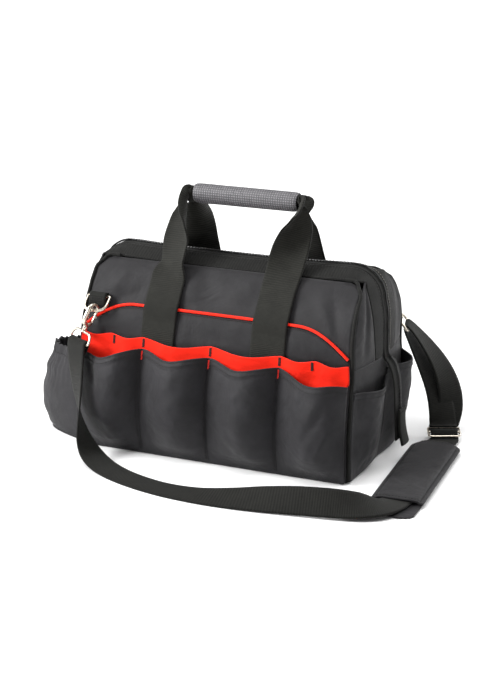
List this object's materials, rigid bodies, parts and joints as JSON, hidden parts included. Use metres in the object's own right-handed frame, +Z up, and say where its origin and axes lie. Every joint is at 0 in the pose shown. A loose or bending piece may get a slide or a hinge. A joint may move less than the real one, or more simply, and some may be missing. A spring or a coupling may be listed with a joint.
{
  "type": "open top tool tote",
  "caption": "Soft boxy tool bag with a wide zipped mouth, joined webbing handles in a wrapped grip, outside pockets with a red lining and a clip-on padded strap.",
  "frame": {"origin": "centre of the underside of the base", "axes": "+X along the bag to its right end, +Y to its back, +Z up"},
  "size_m": [0.6, 0.4053, 0.3591],
  "materials": {
    "cloth_black": "plain-woven coated cloth",
    "webbing_black": "ribbed webbing",
    "lining_red": "plain-woven bright lining",
    "grip_grey": "soft textured wrap",
    "nickel": "plated, satin"
  },
  "bodies": {
    "bag": {"base_panel": "cloth_black", "front_panel": "cloth_black", "back_panel": "cloth_black", "end_panel_left": "cloth_black", "end_wing_front_left": "cloth_black", "end_wing_back_left": "cloth_black", "end_panel_right": "cloth_black", "end_wing_front_right": "cloth_black", "end_wing_back_right": "cloth_black", "corner_piping_front_left": "cloth_black", "corner_piping_front_right": "cloth_black", "corner_piping_back_left": "cloth_black", "corner_piping_back_right": "cloth_black", "slip_pocket": "cloth_black", "front_pockets": "cloth_black", "end_pocket_front_right": "cloth_black", "end_pocket_back_right": "cloth_black", "end_pocket_back_left": "cloth_black", "gathered_pocket": "cloth_black", "gathered_pocket_base": "cloth_black", "pad_base": "cloth_black", "pad_cover": "cloth_black", "mouth_band_front": "webbing_black", "mouth_band_back": "webbing_black", "zip_tape": "webbing_black", "zip_coil": "webbing_black", "zip_tab_left": "webbing_black", "zip_tab_right": "webbing_black", "handle_front": "webbing_black", "handle_back": "webbing_black", "ring_tab_left": "webbing_black", "ring_tab_right": "webbing_black", "shoulder_strap": "webbing_black", "adjuster_strap": "webbing_black", "slip_piping": "lining_red", "pocket_lining": "lining_red", "handle_grip": "grip_grey", "d_ring_left": "nickel", "snap_hook_left": "nickel", "swivel_eye_left": "nickel", "d_ring_right": "nickel", "snap_hook_right": "nickel", "swivel_eye_right": "nickel", "strap_slider": "nickel"},
    "gate_left": {"hook_gate_left": "nickel"},
    "gate_right": {"hook_gate_right": "nickel"}
  },
  "joints": [
    {"name": "gate_left_hinge", "type": "hinge", "parent": "bag", "child": "gate_left", "pos_m": [-0.18025, -0.09738, 0.1738], "axis": [0.9129, -0.3787, -0.152], "range_deg": [0, 15], "stiffness_Nm_per_rad": 0.02},
    {"name": "gate_right_hinge", "type": "hinge", "parent": "bag", "child": "gate_right", "pos_m": [0.18437, 0.10652, 0.17646], "axis": [-0.8297, 0.0877, -0.5513], "range_deg": [0, 15], "stiffness_Nm_per_rad": 0.02}
  ]
}
